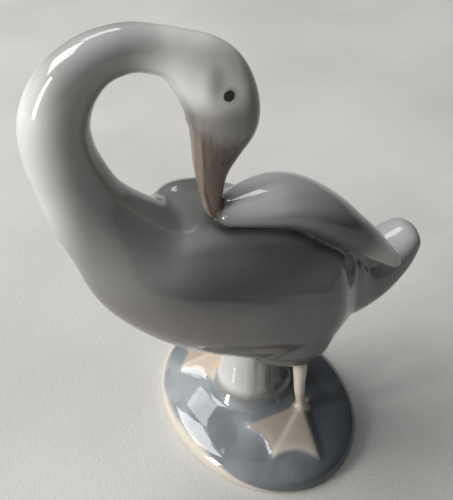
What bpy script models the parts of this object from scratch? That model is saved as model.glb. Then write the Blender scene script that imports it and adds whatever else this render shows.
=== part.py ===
"""Preening swan figurine: one glazed porcelain casting that stands on its own oval plinth.

The bird faces -X and its left side is -Y. Places are given as (forward, left, height) from the middle of
the plinth's underside, in metres, and place() turns them into the scene's axes.
"""

import math

import bmesh
import bpy
from mathutils import Vector
from mathutils.bvhtree import BVHTree

# Plinth, longest from side to side
PLINTH_LENGTH = 0.0662
PLINTH_WIDTH = 0.0508
PLINTH_RIM = 0.0026
PLINTH_CROWN = 0.0082
PLINTH_CHAMFER = 0.0006
PLINTH_TURN = math.radians(-7.0)
DOME_FULLNESS = 2.4
DOME_POWER = 0.55
DOME_RINGS = 10
BELOW = 0.001
VENT_BORE = 0.0045
VENT_DEPTH = 0.010
VENT_FORWARD = 0.0062
VENT_LEFT = -0.0010

# Body
BODY_DEPTH = 0.0425
BODY_BREADTH = 0.0440
BODY_FORWARD = 0.0030
BODY_HEIGHT = 0.0500

# Tail
TAIL_ROOT = 0.0100
TAIL_REACH = 0.0437
TAIL_HEIGHT = 0.0516
TAIL_SAG = 0.0095
TAIL_BREADTH = 0.0215
TAIL_DEPTH = 0.0138

# Neck, an open loop
LOOP_REACH = 0.0156
LOOP_RISE = 0.0171
LOOP_FORWARD = 0.0300
LOOP_HEIGHT = 0.0996
NECK_THICKNESS = 0.0162
NAPE_THICKNESS = 0.0100
HEAD_LEAN = 0.0045

# Head and bill
HEAD_DEPTH = 0.0158
HEAD_BREADTH = 0.0132
HEAD_FORWARD = 0.0119
HEAD_HEIGHT = 0.1028
BILL_LENGTH = 0.0180
BILL_DEPTH = 0.0100

# Wings
WING_LENGTH = 0.0468
WING_BREADTH = 0.0165
WING_THICKNESS = 0.0100

# Raised left wing: a main lobe, a cover lobe along its upper side and a root under its inner half
WING_FORWARD = 0.0140
WING_LEFT = 0.0070
WING_SPREAD = 0.0040
WING_HEIGHT = 0.0762
WING_TILT = math.radians(8.0)
COVER_SHARE = 0.88
COVER_IN = 0.0020
COVER_UP = 0.0034
COVER_BREADTH = 0.85
COVER_THICKNESS = 0.62
ROOT_IN = 0.0060
ROOT_DOWN = 0.0056
ROOT_BREADTH = 0.64
ROOT_THICKNESS = 1.1

# Folded right wing
FOLDED_LENGTH = 0.0520
FOLDED_FORWARD = 0.0235
FOLDED_RIGHT = 0.0108
FOLDED_SWING = 0.018
FOLDED_CLOSING = 0.016
FOLDED_HEIGHT = 0.0688
FOLDED_TILT = math.radians(37.0)

# Legs and feet
LEG_THICKNESS = 0.0030
LEG_ROOT = 0.0080
THIGH_LENGTH = 0.0267
THIGH_DEPTH = 0.024
THIGH_BREADTH = 0.0200
THIGH_FORWARD = 0.0119
THIGH_LEFT = 0.0104
THIGH_HEIGHT = 0.0272
THIGH_SLOPE = 0.0035
FOOT_LENGTH = 0.0181
WEB_THICKNESS = 0.0010
WEB_HOLLOW = 0.12
WEB_STEPS = 8
TOE_THICKNESS = 0.0026
HIND_TOE = 0.0034
HIND_TOE_RISE = 0.0026
LEFT_HEEL = (-0.0080, 0.0126)
RIGHT_HEEL = (-0.0020, -0.0164)
LEFT_HEADING = math.radians(41.0)
RIGHT_HEADING = math.radians(9.0)

# Support between the legs
SUPPORT_BREADTH = 0.0160
SUPPORT_FLARE = 0.0040
SUPPORT_FORWARD = 0.0020
SUPPORT_RIGHT = 0.0010
SUPPORT_FOOT = 0.0052
SUPPORT_TOP = 0.0380

# Skin of the casting
GRAIN = 0.0006
BLEND_REACH = 0.0030
CREASE_REACH = 0.0007
FAR = 0.02
SURFACE_PASSES = 5
BLEND_PASSES = 24
FACES = 11000
FINE_REACH = 0.0008
SIDES = 40

SIDEWAYS = Vector((0.0, -1.0, 0.0))


def clear_scene():
    for old in list(bpy.data.objects):
        bpy.data.objects.remove(old, do_unlink=True)


def place(forward, left, height):
    return Vector((-forward, -left, height))


def eased(values, steps):
    """Points of a smooth curve through rows of numbers, steps to a span."""
    rows = [values[0], *values, values[-1]]
    out = []
    for before, start, end, after in zip(rows, rows[1:], rows[2:], rows[3:]):
        for k in range(steps):
            t = k / steps
            row = []
            for p, q, r, s in zip(before, start, end, after):
                bend = (2 * p - 5 * q + 4 * r - s) * t ** 2 + (3 * q - p - 3 * r + s) * t ** 3
                row.append(q + 0.5 * ((r - p) * t + bend))
            out.append(tuple(row))
    out.append(tuple(values[-1]))
    return out


def mesh_object(name, points, faces):
    mesh = bpy.data.meshes.new(name)
    mesh.from_pydata([tuple(p) for p in points], [], faces)
    mesh.update()
    made = bpy.data.objects.new(name, mesh)
    bpy.context.scene.collection.objects.link(made)
    work = bmesh.new()
    work.from_mesh(mesh)
    bmesh.ops.recalc_face_normals(work, faces=work.faces)
    work.to_mesh(mesh)
    work.free()
    return made


def loft(name, stations, across, steps=6):
    """A closed skin through oval stations (forward, left, height, half_tall, half_wide).

    across points along the ovals' wide axis.
    """
    rows = eased(stations, steps)
    centres = [place(*row[:3]) for row in rows]
    rings = []
    for k, row in enumerate(rows):
        run = centres[min(k + 1, len(rows) - 1)] - centres[max(k - 1, 0)]
        run.normalize()
        wide = (across - run * across.dot(run)).normalized()
        tall = run.cross(wide)
        ring = []
        for j in range(SIDES):
            turn = 2 * math.pi * j / SIDES
            ring.append(centres[k] + tall * (row[3] * math.sin(turn)) + wide * (row[4] * math.cos(turn)))
        rings.append(ring)
    points = [p for ring in rings for p in ring]
    faces = []
    for k in range(len(rings) - 1):
        for j in range(SIDES):
            a, b = k * SIDES + j, k * SIDES + (j + 1) % SIDES
            faces.append((a, b, b + SIDES, a + SIDES))
    faces.append(tuple(range(SIDES)))
    faces.append(tuple((len(rings) - 1) * SIDES + j for j in range(SIDES)))
    return mesh_object(name, points, faces)


def make_trunk():
    """Rump, belly and breast, then the neck's loop, the head and the bill, along one spine."""
    full = NECK_THICKNESS / 2
    nape = NAPE_THICKNESS / 2
    deep = HEAD_DEPTH / 2
    broad = HEAD_BREADTH / 2
    tall = BODY_DEPTH / 2
    wide = BODY_BREADTH / 2
    stations = []
    for reach, rise, depth, breadth in (
        (-0.0290, -0.0060, 0.10, 0.12), (-0.0280, -0.0060, 0.36, 0.34), (-0.0250, -0.0062, 0.60, 0.53),
        (-0.0208, -0.0061, 0.76, 0.70), (-0.0166, -0.0055, 0.87, 0.855), (-0.0118, -0.0042, 0.94, 0.955),
        (-0.0050, -0.0021, 0.98, 0.99), (0.0052, 0.0020, 0.94, 1.0), (0.0172, 0.0073, 0.85, 0.92),
        (0.0266, 0.0135, 0.70, 0.75),
    ):
        stations.append((BODY_FORWARD + reach, 0.0, BODY_HEIGHT + rise, depth * tall, breadth * wide))
    stations += [
        (LOOP_FORWARD + 0.0056, 0.0, LOOP_HEIGHT - 0.0280, 1.40 * full, 1.42 * full),
        (LOOP_FORWARD + 0.0106, 0.0, LOOP_HEIGHT - 0.0194, 1.12 * full, 1.12 * full),
        (LOOP_FORWARD + 0.0137, 0.0, LOOP_HEIGHT - 0.0104, 0.97 * full, 0.97 * full),
        (*loop_point(math.radians(-12), 0.1), 0.92 * full, 0.92 * full),
        (*loop_point(math.radians(12), 0.2), 0.88 * full, 0.88 * full),
        (*loop_point(math.radians(38), 0.35), 0.785 * full, 0.785 * full),
        (*loop_point(math.radians(64), 0.45), 1.07 * nape, 1.07 * nape),
        (*loop_point(math.radians(90), 0.6), 0.96 * nape, 0.97 * nape),
        (*loop_point(math.radians(112), 0.7), 0.96 * nape, 0.98 * nape),
        (HEAD_FORWARD + 0.0084, 0.75 * HEAD_LEAN, HEAD_HEIGHT + 0.0109, 1.09 * nape, 1.1 * nape),
        (HEAD_FORWARD + 0.0049, 0.85 * HEAD_LEAN, HEAD_HEIGHT + 0.0083, 0.88 * deep, 0.88 * broad),
        (HEAD_FORWARD + 0.0019, 0.92 * HEAD_LEAN, HEAD_HEIGHT + 0.0049, 0.98 * deep, 0.97 * broad),
        (HEAD_FORWARD, HEAD_LEAN, HEAD_HEIGHT, deep, broad),
        (HEAD_FORWARD - 0.0001, 1.1 * HEAD_LEAN, HEAD_HEIGHT - 0.0048, 0.98 * deep, 0.95 * broad),
    ]
    base = HEAD_HEIGHT - 0.0095
    for share, shift, depth, breadth in (
        (0.0, 0.0003, 1.18, 1.0), (0.19, 0.0013, 0.92, 0.87), (0.38, 0.0019, 0.70, 0.76),
        (0.62, 0.0020, 0.52, 0.68), (0.84, 0.0018, 0.40, 0.56), (0.95, 0.0016, 0.28, 0.40),
        (1.0, 0.0014, 0.08, 0.10),
    ):
        stations.append((
            HEAD_FORWARD + 0.0010 + shift, (1.2 + 0.2 * share) * HEAD_LEAN, base - share * BILL_LENGTH,
            depth * BILL_DEPTH / 2, breadth * BILL_DEPTH / 2,
        ))
    return loft("trunk", stations, SIDEWAYS)


def loop_point(angle, lean):
    """Centre of the neck at an angle round its loop."""
    forward = LOOP_FORWARD + LOOP_REACH * math.cos(angle)
    return (forward, lean * HEAD_LEAN, LOOP_HEIGHT + LOOP_RISE * math.sin(angle))


def make_tail():
    stations = []
    for share, depth, breadth in (
        (0.0, 1.6, 1.3), (0.30, 1.72, 1.2), (0.55, 1.38, 0.94), (0.78, 0.87, 0.80),
        (0.92, 0.54, 0.62), (0.975, 0.35, 0.43), (1.0, 0.05, 0.08),
    ):
        forward = -TAIL_ROOT - share * (TAIL_REACH - TAIL_ROOT)
        height = BODY_HEIGHT + share * (TAIL_HEIGHT - BODY_HEIGHT) - TAIL_SAG * math.sin(math.pi * share)
        stations.append((forward, 0.0, height, depth * TAIL_DEPTH / 2, breadth * TAIL_BREADTH / 2))
    return loft("tail", stations, SIDEWAYS)


# Along a wing from its front: share of its length, how far the raised and the folded wing have dropped
# there, and shares of its thickness and breadth
WING_FORM = (
    (0.0, 0.0012, 0.0018, 0.10, 0.10), (0.02, 0.0008, 0.0008, 0.42, 0.40), (0.10, 0.0002, -0.0006, 0.60, 0.66),
    (0.22, 0.0000, 0.0017, 0.78, 0.88), (0.33, 0.0005, 0.0055, 0.90, 0.97), (0.44, 0.0026, 0.0094, 0.98, 1.0),
    (0.55, 0.0061, 0.0124, 1.0, 0.98), (0.66, 0.0103, 0.0148, 0.95, 0.90), (0.77, 0.0149, 0.0170, 0.82, 0.76),
    (0.88, 0.0199, 0.0190, 0.58, 0.56), (0.97, 0.0241, 0.0205, 0.34, 0.34), (1.0, 0.0252, 0.0210, 0.10, 0.10),
)


def make_raised_wing():
    """The left wing, lifted off the flank, with a cover lobe that ends in front of its tip."""
    across = Vector((0.0, -math.cos(WING_TILT), math.sin(WING_TILT)))
    lobe, cover, root = [], [], []
    for share, drop, _, thick, wide in eased(WING_FORM, 6):
        forward = WING_FORWARD - share * WING_LENGTH
        left = WING_LEFT + WING_SPREAD * share
        height = WING_HEIGHT - drop
        tall = thick * WING_THICKNESS / 2
        half = wide * WING_BREADTH / 2
        lobe.append((forward, left, height, tall, half))
        root.append((
            forward, left - ROOT_IN, height - ROOT_DOWN,
            ROOT_THICKNESS * tall, ROOT_BREADTH * half,
        ))
        if share < COVER_SHARE:
            end = math.sqrt(1.0 - (share / COVER_SHARE) ** 6)
            cover.append((
                forward, left - wide * COVER_IN, height + thick * COVER_UP,
                COVER_THICKNESS * end * tall, COVER_BREADTH * end * half,
            ))
    return [
        loft("left_wing", lobe, across, 1),
        loft("left_wing_cover", cover, across, 1),
        loft("left_wing_root", root, across, 1),
    ]


def make_folded_wing():
    """The right wing, the same lobe laid down the flank."""
    across = Vector((0.0, math.cos(FOLDED_TILT), -math.sin(FOLDED_TILT)))
    stations = []
    for share, _, drop, thick, wide in WING_FORM:
        stations.append((
            FOLDED_FORWARD - share * FOLDED_LENGTH,
            -(FOLDED_RIGHT + FOLDED_SWING * share - FOLDED_CLOSING * share ** 2),
            FOLDED_HEIGHT - drop, thick * WING_THICKNESS / 2, wide * WING_BREADTH / 2,
        ))
    return [loft("right_wing", stations, across)]


def plinth_top(x, y):
    """Height of the domed plinth under a point."""
    c, s = math.cos(PLINTH_TURN), math.sin(PLINTH_TURN)
    u = (x * c - y * s) / (PLINTH_WIDTH / 2)
    v = (x * s + y * c) / (PLINTH_LENGTH / 2)
    inside = max(0.0, 1.0 - math.hypot(u, v) ** DOME_FULLNESS)
    return PLINTH_RIM + (PLINTH_CROWN - PLINTH_RIM) * inside ** DOME_POWER


def make_plinth():
    c, s = math.cos(PLINTH_TURN), math.sin(PLINTH_TURN)
    rings = [(0.985, -BELOW), (1.0, PLINTH_CHAMFER), (1.0, PLINTH_RIM)]
    rings += [(math.cos(0.48 * math.pi * k / DOME_RINGS), None) for k in range(1, DOME_RINGS + 1)]
    points = []
    for share, height in rings:
        for j in range(SIDES * 2):
            turn = math.pi * j / SIDES
            u = share * PLINTH_WIDTH / 2 * math.cos(turn)
            v = share * PLINTH_LENGTH / 2 * math.sin(turn)
            x, y = u * c + v * s, v * c - u * s
            points.append((x, y, plinth_top(x, y) if height is None else height))
    count = SIDES * 2
    faces = [tuple(range(count))]
    faces.append(tuple((len(rings) - 1) * count + j for j in range(count)))
    for k in range(len(rings) - 1):
        for j in range(count):
            a, b = k * count + j, k * count + (j + 1) % count
            faces.append((a, b, b + count, a + count))
    return mesh_object("plinth", points, faces)


def make_support():
    stations = []
    for share, flare in ((0.0, 1.0), (0.09, 1.0), (0.18, 0.35), (0.33, 0.0), (0.6, 0.0), (1.0, 0.0)):
        height = SUPPORT_FOOT + share * (SUPPORT_TOP - SUPPORT_FOOT)
        half = SUPPORT_BREADTH / 2 + flare * SUPPORT_FLARE
        stations.append((SUPPORT_FORWARD, -SUPPORT_RIGHT, height, half, half))
    return loft("support", stations, SIDEWAYS)


def heel_of(side):
    """Where the leg meets the foot. side is 1 on the left and -1 on the right."""
    return LEFT_HEEL if side > 0 else RIGHT_HEEL


def toe_tips(side):
    forward, left = heel_of(side)
    heading = LEFT_HEADING if side > 0 else RIGHT_HEADING
    tips = []
    for turn, share in ((-38.0, 0.92), (0.0, 1.0), (42.0, 0.90)):
        angle = heading + math.radians(turn)
        reach = share * FOOT_LENGTH
        tips.append((forward + reach * math.cos(angle), left + reach * math.sin(angle)))
    return tips


def on_plinth(forward, left, above):
    """A place above the plinth's domed top."""
    return (forward, left, plinth_top(-forward, -left) + above)


def make_toe(name, heel, tip):
    ahead = (tip[0] - heel[0], tip[1] - heel[1])
    stations = []
    for share, girth in ((0.0, 1.2), (0.3, 0.85), (0.6, 0.72), (0.85, 0.62), (0.97, 0.38), (1.0, 0.1)):
        centre = on_plinth(heel[0] + share * ahead[0], heel[1] + share * ahead[1], 0.0)
        stations.append((*centre, girth * TOE_THICKNESS / 2, girth * TOE_THICKNESS / 2))
    return loft(name, stations, Vector((ahead[1], -ahead[0], 0.0)), 3)


def make_hind_toe(name, heel):
    """A short toe that points back, a little above the plinth."""
    stations = []
    for share, girth in ((0.0, 0.9), (0.5, 0.8), (0.9, 0.5), (1.0, 0.1)):
        centre = on_plinth(heel[0] - share * HIND_TOE, heel[1], HIND_TOE_RISE)
        stations.append((*centre, girth * TOE_THICKNESS / 2, girth * TOE_THICKNESS / 2))
    return loft(name, stations, SIDEWAYS, 3)


def make_web(name, heel, tips):
    """The web between the toes, with hollow front edges."""
    edge = []
    for a, b in zip(tips, tips[1:]):
        for k in range(WEB_STEPS + 1):
            t = k / WEB_STEPS
            hollow = 1.0 - WEB_HOLLOW * math.sin(math.pi * t)
            edge.append(tuple(h + (p + t * (q - p) - h) * hollow for h, p, q in zip(heel, a, b)))
    rows = []
    for share in (0.02, 0.3, 0.6, 0.85, 1.0):
        rows.append([(heel[0] + share * (f - heel[0]), heel[1] + share * (l - heel[1])) for f, l in edge])
    points = []
    for above in (WEB_THICKNESS, -2 * WEB_THICKNESS):
        for row in rows:
            points += [place(*on_plinth(f, l, above)) for f, l in row]
    wide, deep = len(edge), len(rows)
    faces = []
    for layer in (0, 1):
        for k in range(deep - 1):
            for j in range(wide - 1):
                a = layer * wide * deep + k * wide + j
                faces.append((a, a + 1, a + 1 + wide, a + wide))
    rim = list(range(wide))
    rim += [k * wide + wide - 1 for k in range(1, deep)]
    rim += [(deep - 1) * wide + j for j in reversed(range(wide - 1))]
    rim += [k * wide for k in reversed(range(1, deep - 1))]
    for a, b in zip(rim, rim[1:] + rim[:1]):
        faces.append((a, b, b + wide * deep, a + wide * deep))
    return mesh_object(name, points, faces)


def make_foot(name, side):
    heel = heel_of(side)
    tips = toe_tips(side)
    pieces = [make_toe(f"{name}_toe_{k}", heel, tip) for k, tip in enumerate(tips)]
    return [*pieces, make_hind_toe(f"{name}_hind_toe", heel), make_web(f"{name}_web", heel, tips)]


def make_leg(name, side):
    forward, left = heel_of(side)
    thin = LEG_THICKNESS / 2
    thick = LEG_ROOT / 2
    stations = [(*on_plinth(forward, left, -BELOW), 1.2 * thin, 1.2 * thin)]
    for ahead, inward, height, girth in (
        (0.0004, 0.0, plinth_top(-forward, -left) + 0.003, thin),
        (0.0010, 0.0, PLINTH_CROWN + 0.008, 1.05 * thin),
        (0.0012, 0.0, PLINTH_CROWN + 0.014, 1.25 * thin),
        (0.0016, 0.0, PLINTH_CROWN + 0.019, 0.55 * thick),
        (0.0020, 0.001, PLINTH_CROWN + 0.025, thick),
        (0.0024, 0.002, BODY_HEIGHT - 0.010, thick),
    ):
        stations.append((forward + ahead, left - side * inward, height, girth, girth))
    return loft(name, stations, SIDEWAYS, 4)


def make_thigh(name, side):
    """Swelling of the flank over the leg, with a blunt rear end."""
    stations = []
    for share, tall, wide in (
        (0.0, 0.08, 0.08), (0.04, 0.34, 0.34), (0.16, 0.62, 0.62), (0.36, 0.88, 0.88), (0.60, 1.0, 1.0),
        (0.80, 0.95, 0.91), (0.93, 0.70, 0.68), (0.985, 0.38, 0.37), (1.0, 0.1, 0.1),
    ):
        height = THIGH_HEIGHT + THIGH_DEPTH / 2 + THIGH_SLOPE * (0.6 - share)
        stations.append((
            THIGH_FORWARD - share * THIGH_LENGTH, side * THIGH_LEFT, height,
            tall * THIGH_DEPTH / 2, wide * THIGH_BREADTH / 2,
        ))
    return loft(name, stations, SIDEWAYS)


def settled(thing):
    """The object with its modifiers applied."""
    bpy.context.view_layer.update()
    graph = bpy.context.evaluated_depsgraph_get()
    mesh = bpy.data.meshes.new_from_object(thing.evaluated_get(graph))
    thing.modifiers.clear()
    thing.data = mesh
    return thing


def fuse(name, forms, grain):
    """One skin round all the forms."""
    joined = bmesh.new()
    for form in forms:
        joined.from_mesh(form.data)
    mesh = bpy.data.meshes.new(name)
    joined.to_mesh(mesh)
    joined.free()
    made = bpy.data.objects.new(name, mesh)
    bpy.context.scene.collection.objects.link(made)
    skin = made.modifiers.new("Skin", "REMESH")
    skin.mode = "VOXEL"
    skin.voxel_size = grain
    skin.use_smooth_shade = True
    return settled(made)


def tree_of(thing):
    mesh = thing.data
    return BVHTree.FromPolygons([v.co for v in mesh.vertices], [p.vertices for p in mesh.polygons])


def blend(made, forms):
    """Softens the surface, and most of all where two forms meet, but keeps a crease round each wing."""
    trees = [(tree_of(form), CREASE_REACH if "wing" in form.name else BLEND_REACH) for form in forms]
    group = made.vertex_groups.new(name="meeting")
    for vertex in made.data.vertices:
        near = sorted((tree.find_nearest(vertex.co, FAR)[3] or FAR, reach) for tree, reach in trees)
        weight = 1.0 - near[1][0] / min(near[0][1], near[1][1])
        if weight > 0:
            group.add([vertex.index], weight, "REPLACE")
    meeting = made.modifiers.new("Blend", "SMOOTH")
    meeting.vertex_group = "meeting"
    meeting.factor = 0.5
    meeting.iterations = BLEND_PASSES
    surface = made.modifiers.new("Surface", "SMOOTH")
    surface.factor = 0.5
    surface.iterations = SURFACE_PASSES
    return settled(made)


def thin_out(made, faces, fine_forms):
    """Fewer faces where the skin is plain, more on the feet."""
    trees = [tree_of(form) for form in fine_forms]
    made.data.calc_loop_triangles()
    fine = made.vertex_groups.new(name="fine")
    for vertex in made.data.vertices:
        if any(t.find_nearest(vertex.co, FINE_REACH)[0] for t in trees):
            fine.add([vertex.index], 1.0, "REPLACE")
    thin = made.modifiers.new("Thin", "DECIMATE")
    thin.vertex_group = "fine"
    thin.invert_vertex_group = True
    thin.vertex_group_factor = 2.0
    thin.ratio = faces / len(made.data.loop_triangles)
    return settled(made)


def level_underside(made):
    work = bmesh.new()
    work.from_mesh(made.data)
    cut = bmesh.ops.bisect_plane(
        work, geom=work.verts[:] + work.edges[:] + work.faces[:],
        plane_co=(0, 0, 0), plane_no=(0, 0, 1), clear_inner=True,
    )
    rim = [e for e in cut["geom_cut"] if isinstance(e, bmesh.types.BMEdge)]
    bmesh.ops.contextual_create(work, geom=rim)
    bmesh.ops.recalc_face_normals(work, faces=work.faces)
    work.to_mesh(made.data)
    work.free()


def make_vent(made):
    work = bmesh.new()
    bore = VENT_BORE / 2
    bmesh.ops.create_cone(work, cap_ends=True, segments=24, radius1=bore, radius2=bore, depth=2 * VENT_DEPTH)
    mesh = bpy.data.meshes.new("vent")
    work.to_mesh(mesh)
    work.free()
    cutter = bpy.data.objects.new("vent", mesh)
    bpy.context.scene.collection.objects.link(cutter)
    cutter.location = place(VENT_FORWARD, VENT_LEFT, 0.0)
    cutter.hide_render = True
    cutter.display_type = "WIRE"
    hole = made.modifiers.new("Vent", "BOOLEAN")
    hole.operation = "DIFFERENCE"
    hole.solver = "EXACT"
    hole.object = cutter


def glaze(name, colour, roughness):
    made = bpy.data.materials.new(name)
    made.use_nodes = True
    shader = made.node_tree.nodes["Principled BSDF"]
    shader.inputs["Base Color"].default_value = (*colour, 1.0)
    shader.inputs["Roughness"].default_value = roughness
    shader.inputs["Metallic"].default_value = 0.0
    return made


def all_forms():
    forms = [make_trunk(), make_tail(), make_plinth(), make_support()]
    forms += make_raised_wing()
    forms += make_folded_wing()
    for side, word in ((1, "left"), (-1, "right")):
        forms.append(make_leg(word + "_leg", side))
        forms.append(make_thigh(word + "_thigh", side))
        forms += make_foot(word + "_foot", side)
    return forms


def main():
    clear_scene()
    forms = all_forms()
    swan = fuse("swan_figurine", forms, GRAIN)
    blend(swan, forms)
    thin_out(swan, FACES, [form for form in forms if "foot" in form.name])
    level_underside(swan)
    for form in forms:
        bpy.data.objects.remove(form, do_unlink=True)
    make_vent(swan)
    swan.data.materials.clear()
    swan.data.materials.append(glaze("porcelain_glaze", (0.42, 0.41, 0.39), 0.12))
    swan.data.shade_smooth()


main()
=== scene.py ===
"""Looks of the preening swan figurine: one glazed porcelain casting on a plain pale table.

The bird faces -X and its left side is -Y. Places are given as (forward, left, height) in metres.
"""

import math

import bmesh
import bpy
import numpy as np
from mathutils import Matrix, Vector
from mathutils.bvhtree import BVHTree


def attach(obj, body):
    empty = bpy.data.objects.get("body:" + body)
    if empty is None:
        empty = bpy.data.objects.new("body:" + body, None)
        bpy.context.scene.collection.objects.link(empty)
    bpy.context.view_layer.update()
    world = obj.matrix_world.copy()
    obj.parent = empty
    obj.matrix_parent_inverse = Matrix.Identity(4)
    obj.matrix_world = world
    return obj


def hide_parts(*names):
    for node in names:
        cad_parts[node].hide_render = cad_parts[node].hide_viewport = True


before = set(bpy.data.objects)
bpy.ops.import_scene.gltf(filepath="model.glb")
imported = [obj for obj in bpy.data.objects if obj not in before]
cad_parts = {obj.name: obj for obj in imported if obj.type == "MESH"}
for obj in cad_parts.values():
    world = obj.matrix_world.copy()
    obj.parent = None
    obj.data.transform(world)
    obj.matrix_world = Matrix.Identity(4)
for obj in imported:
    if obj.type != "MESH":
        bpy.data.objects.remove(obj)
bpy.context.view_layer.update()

# Plinth, longest from side to side
PLINTH_LENGTH = 0.0662
PLINTH_WIDTH = 0.0508
PLINTH_RIM = 0.0026
PLINTH_CROWN = 0.0082
PLINTH_CHAMFER = 0.0006
PLINTH_TURN = math.radians(-7.0)
DOME_FULLNESS = 2.4
DOME_POWER = 0.55
DOME_RINGS = 10
BELOW = 0.001
VENT_BORE = 0.0045
VENT_DEPTH = 0.010
VENT_FORWARD = 0.0062
VENT_LEFT = -0.0010

# Body
BODY_DEPTH = 0.0425
BODY_BREADTH = 0.0440
BODY_FORWARD = 0.0030
BODY_HEIGHT = 0.0500

# Tail
TAIL_ROOT = 0.0100
TAIL_REACH = 0.0437
TAIL_HEIGHT = 0.0516
TAIL_SAG = 0.0095
TAIL_BREADTH = 0.0215
TAIL_DEPTH = 0.0138

# Neck, an open loop
LOOP_REACH = 0.0156
LOOP_RISE = 0.0171
LOOP_FORWARD = 0.0300
LOOP_HEIGHT = 0.0996
NECK_THICKNESS = 0.0162
NAPE_THICKNESS = 0.0100
HEAD_LEAN = 0.0045

# Head and bill
HEAD_DEPTH = 0.0158
HEAD_BREADTH = 0.0132
HEAD_FORWARD = 0.0119
HEAD_HEIGHT = 0.1028
BILL_LENGTH = 0.0180
BILL_DEPTH = 0.0100

# Wings
WING_LENGTH = 0.0468
WING_BREADTH = 0.0165
WING_THICKNESS = 0.0100

# Raised left wing: a main lobe, a cover lobe along its upper side and a root under its inner half
WING_FORWARD = 0.0140
WING_LEFT = 0.0070
WING_SPREAD = 0.0040
WING_HEIGHT = 0.0762
WING_TILT = math.radians(8.0)
COVER_SHARE = 0.88
COVER_IN = 0.0020
COVER_UP = 0.0034
COVER_BREADTH = 0.85
COVER_THICKNESS = 0.62
ROOT_IN = 0.0060
ROOT_DOWN = 0.0056
ROOT_BREADTH = 0.64
ROOT_THICKNESS = 1.1

# Folded right wing
FOLDED_LENGTH = 0.0520
FOLDED_FORWARD = 0.0235
FOLDED_RIGHT = 0.0108
FOLDED_SWING = 0.018
FOLDED_CLOSING = 0.016
FOLDED_HEIGHT = 0.0688
FOLDED_TILT = math.radians(37.0)

# Legs and feet
LEG_THICKNESS = 0.0030
LEG_ROOT = 0.0080
THIGH_LENGTH = 0.0267
THIGH_DEPTH = 0.024
THIGH_BREADTH = 0.0200
THIGH_FORWARD = 0.0119
THIGH_LEFT = 0.0104
THIGH_HEIGHT = 0.0272
THIGH_SLOPE = 0.0035
FOOT_LENGTH = 0.0181
WEB_THICKNESS = 0.0010
WEB_HOLLOW = 0.12
WEB_STEPS = 8
TOE_THICKNESS = 0.0026
HIND_TOE = 0.0034
HIND_TOE_RISE = 0.0026
LEFT_HEEL = (-0.0080, 0.0126)
RIGHT_HEEL = (0.0002, -0.0144)
LEFT_HEADING = math.radians(41.0)
RIGHT_HEADING = math.radians(3.0)

# Support between the legs
SUPPORT_BREADTH = 0.0171
SUPPORT_FLARE = 0.0028
SUPPORT_FORWARD = 0.0014
SUPPORT_RIGHT = 0.0010
SUPPORT_FOOT = 0.0052
SUPPORT_TOP = 0.0380

# Skin of the casting, and how many of the trunk's last spans make the bill
GRAIN = 0.00056
BLEND_REACH = 0.0030
CREASE_REACH = 0.0007
FAR = 0.02
SURFACE_PASSES = 7
BLEND_PASSES = 31
SIDES = 40
LOFT_STEPS = 6
BILL_STATIONS = 9

SIDEWAYS = Vector((0.0, -1.0, 0.0))


def place(forward, left, height):
    return Vector((-forward, -left, height))


def eased(values, steps):
    """Points of a smooth curve through rows of numbers, steps to a span."""
    rows = [values[0], *values, values[-1]]
    out = []
    for before, start, end, after in zip(rows, rows[1:], rows[2:], rows[3:]):
        for k in range(steps):
            t = k / steps
            row = []
            for p, q, r, s in zip(before, start, end, after):
                bend = (2 * p - 5 * q + 4 * r - s) * t ** 2 + (3 * q - p - 3 * r + s) * t ** 3
                row.append(q + 0.5 * ((r - p) * t + bend))
            out.append(tuple(row))
    out.append(tuple(values[-1]))
    return out


def mesh_object(name, points, faces):
    mesh = bpy.data.meshes.new(name)
    mesh.from_pydata([tuple(p) for p in points], [], faces)
    mesh.update()
    made = bpy.data.objects.new(name, mesh)
    bpy.context.scene.collection.objects.link(made)
    work = bmesh.new()
    work.from_mesh(mesh)
    bmesh.ops.recalc_face_normals(work, faces=work.faces)
    work.to_mesh(mesh)
    work.free()
    return made


def loft(name, stations, across, steps=LOFT_STEPS):
    """A closed skin through oval stations (forward, left, height, half_tall, half_wide).

    across points along the ovals' wide axis.
    """
    rows = eased(stations, steps)
    centres = [place(*row[:3]) for row in rows]
    rings = []
    for k, row in enumerate(rows):
        run = centres[min(k + 1, len(rows) - 1)] - centres[max(k - 1, 0)]
        run.normalize()
        wide = (across - run * across.dot(run)).normalized()
        tall = run.cross(wide)
        ring = []
        for j in range(SIDES):
            turn = 2 * math.pi * j / SIDES
            ring.append(centres[k] + tall * (row[3] * math.sin(turn)) + wide * (row[4] * math.cos(turn)))
        rings.append(ring)
    points = [p for ring in rings for p in ring]
    faces = []
    for k in range(len(rings) - 1):
        for j in range(SIDES):
            a, b = k * SIDES + j, k * SIDES + (j + 1) % SIDES
            faces.append((a, b, b + SIDES, a + SIDES))
    faces.append(tuple(range(SIDES)))
    faces.append(tuple((len(rings) - 1) * SIDES + j for j in range(SIDES)))
    return mesh_object(name, points, faces)


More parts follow.
